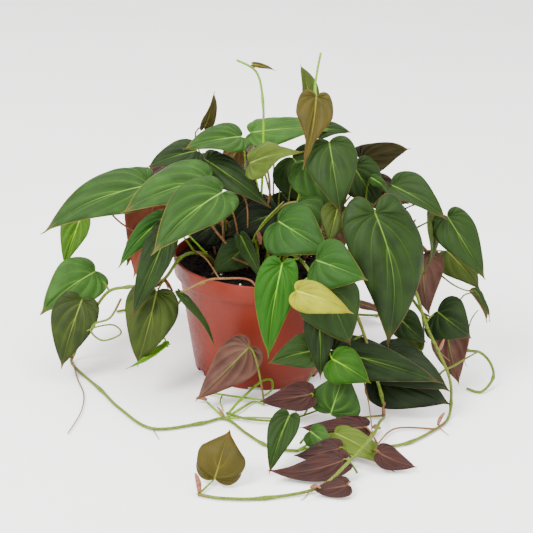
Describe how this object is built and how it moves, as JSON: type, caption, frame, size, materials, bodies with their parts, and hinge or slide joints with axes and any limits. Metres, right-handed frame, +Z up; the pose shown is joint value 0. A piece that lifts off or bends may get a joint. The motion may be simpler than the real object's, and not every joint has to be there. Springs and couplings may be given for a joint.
{
  "type": "potted philodendron",
  "caption": "Trailing velvet-leaf philodendron with heart-shaped leaves growing over the rim of a thin plastic nursery pot.",
  "frame": {"origin": "centre of the pot's flat base, on the surface it stands on", "axes": "+Z up; -Y is the front of the plant, where the longest stems trail along the surface; +X is its right side seen from the front"},
  "size_m": [0.3863, 0.3642, 0.2762],
  "materials": {
    "terracotta_plastic": "thin moulded polypropylene, satin, terracotta colour",
    "potting_mix": "loose moist bark and peat mix with white perlite",
    "green_stem": "soft waxy green stem, reddish at the nodes",
    "velvet_green_leaf": "velvety deep green leaf with paler veins",
    "lime_young_leaf": "soft satin lime to yellow young leaf",
    "copper_young_leaf": "satin copper-green new leaf",
    "maroon_underside": "matte maroon leaf underside with raised pale veins"
  },
  "bodies": {
    "root": {"leaf_back_left_high": "velvet_green_leaf", "leaf_back_left_low": "velvet_green_leaf", "leaf_back_middle_high": "velvet_green_leaf", "leaf_back_middle_low": "velvet_green_leaf", "leaf_back_right_high": "velvet_green_leaf", "leaf_back_right_low": "velvet_green_leaf", "leaf_back_top": "velvet_green_leaf", "leaf_beside_pot": "velvet_green_leaf", "leaf_centre_behind": "velvet_green_leaf", "leaf_centre_bright": "velvet_green_leaf", "leaf_centre_right": "velvet_green_leaf", "leaf_copper_top": "copper_young_leaf", "leaf_crown_dark": "velvet_green_leaf", "leaf_crown_front": "velvet_green_leaf", "leaf_crown_right": "velvet_green_leaf", "leaf_far_left": "velvet_green_leaf", "leaf_far_right": "velvet_green_leaf", "leaf_floor_copper": "copper_young_leaf", "leaf_floor_hanging": "velvet_green_leaf", "leaf_floor_khaki": "lime_young_leaf", "leaf_floor_purple": "maroon_underside", "leaf_front_dark": "velvet_green_leaf", "leaf_front_lime": "lime_young_leaf", "leaf_front_long": "velvet_green_leaf", "leaf_front_narrow": "velvet_green_leaf", "leaf_front_round": "velvet_green_leaf", "leaf_front_yellow": "lime_young_leaf", "leaf_khaki_top": "lime_young_leaf", "leaf_large_front": "velvet_green_leaf", "leaf_large_low": "velvet_green_leaf", "leaf_left_folded": "velvet_green_leaf", "leaf_left_front": "velvet_green_leaf", "leaf_left_lime": "lime_young_leaf", "leaf_left_long": "velvet_green_leaf", "leaf_left_middle": "velvet_green_leaf", "leaf_left_rust": "maroon_underside", "leaf_low_left": "velvet_green_leaf", "leaf_olive_right": "copper_young_leaf", "leaf_pink_back": "maroon_underside", "leaf_red_back": "maroon_underside", "leaf_right_maroon": "maroon_underside", "leaf_right_round": "velvet_green_leaf", "leaf_right_shoulder": "velvet_green_leaf", "leaf_shaded_left": "velvet_green_leaf", "leaf_top_flat": "velvet_green_leaf", "leaf_top_right_flat": "velvet_green_leaf", "leaf_upturned": "velvet_green_leaf", "pot": "terracotta_plastic", "soil": "potting_mix", "stem_back_left": "green_stem", "stem_back_right": "green_stem", "stem_front_arm": "green_stem", "stem_front_trailer": "green_stem", "stem_left_arm": "green_stem", "stem_left_trailer": "green_stem", "stem_right_arm": "green_stem", "stem_right_loop": "green_stem", "stem_right_trailer": "green_stem", "stem_top_left": "green_stem", "stem_top_right": "green_stem"}
  },
  "joints": []
}
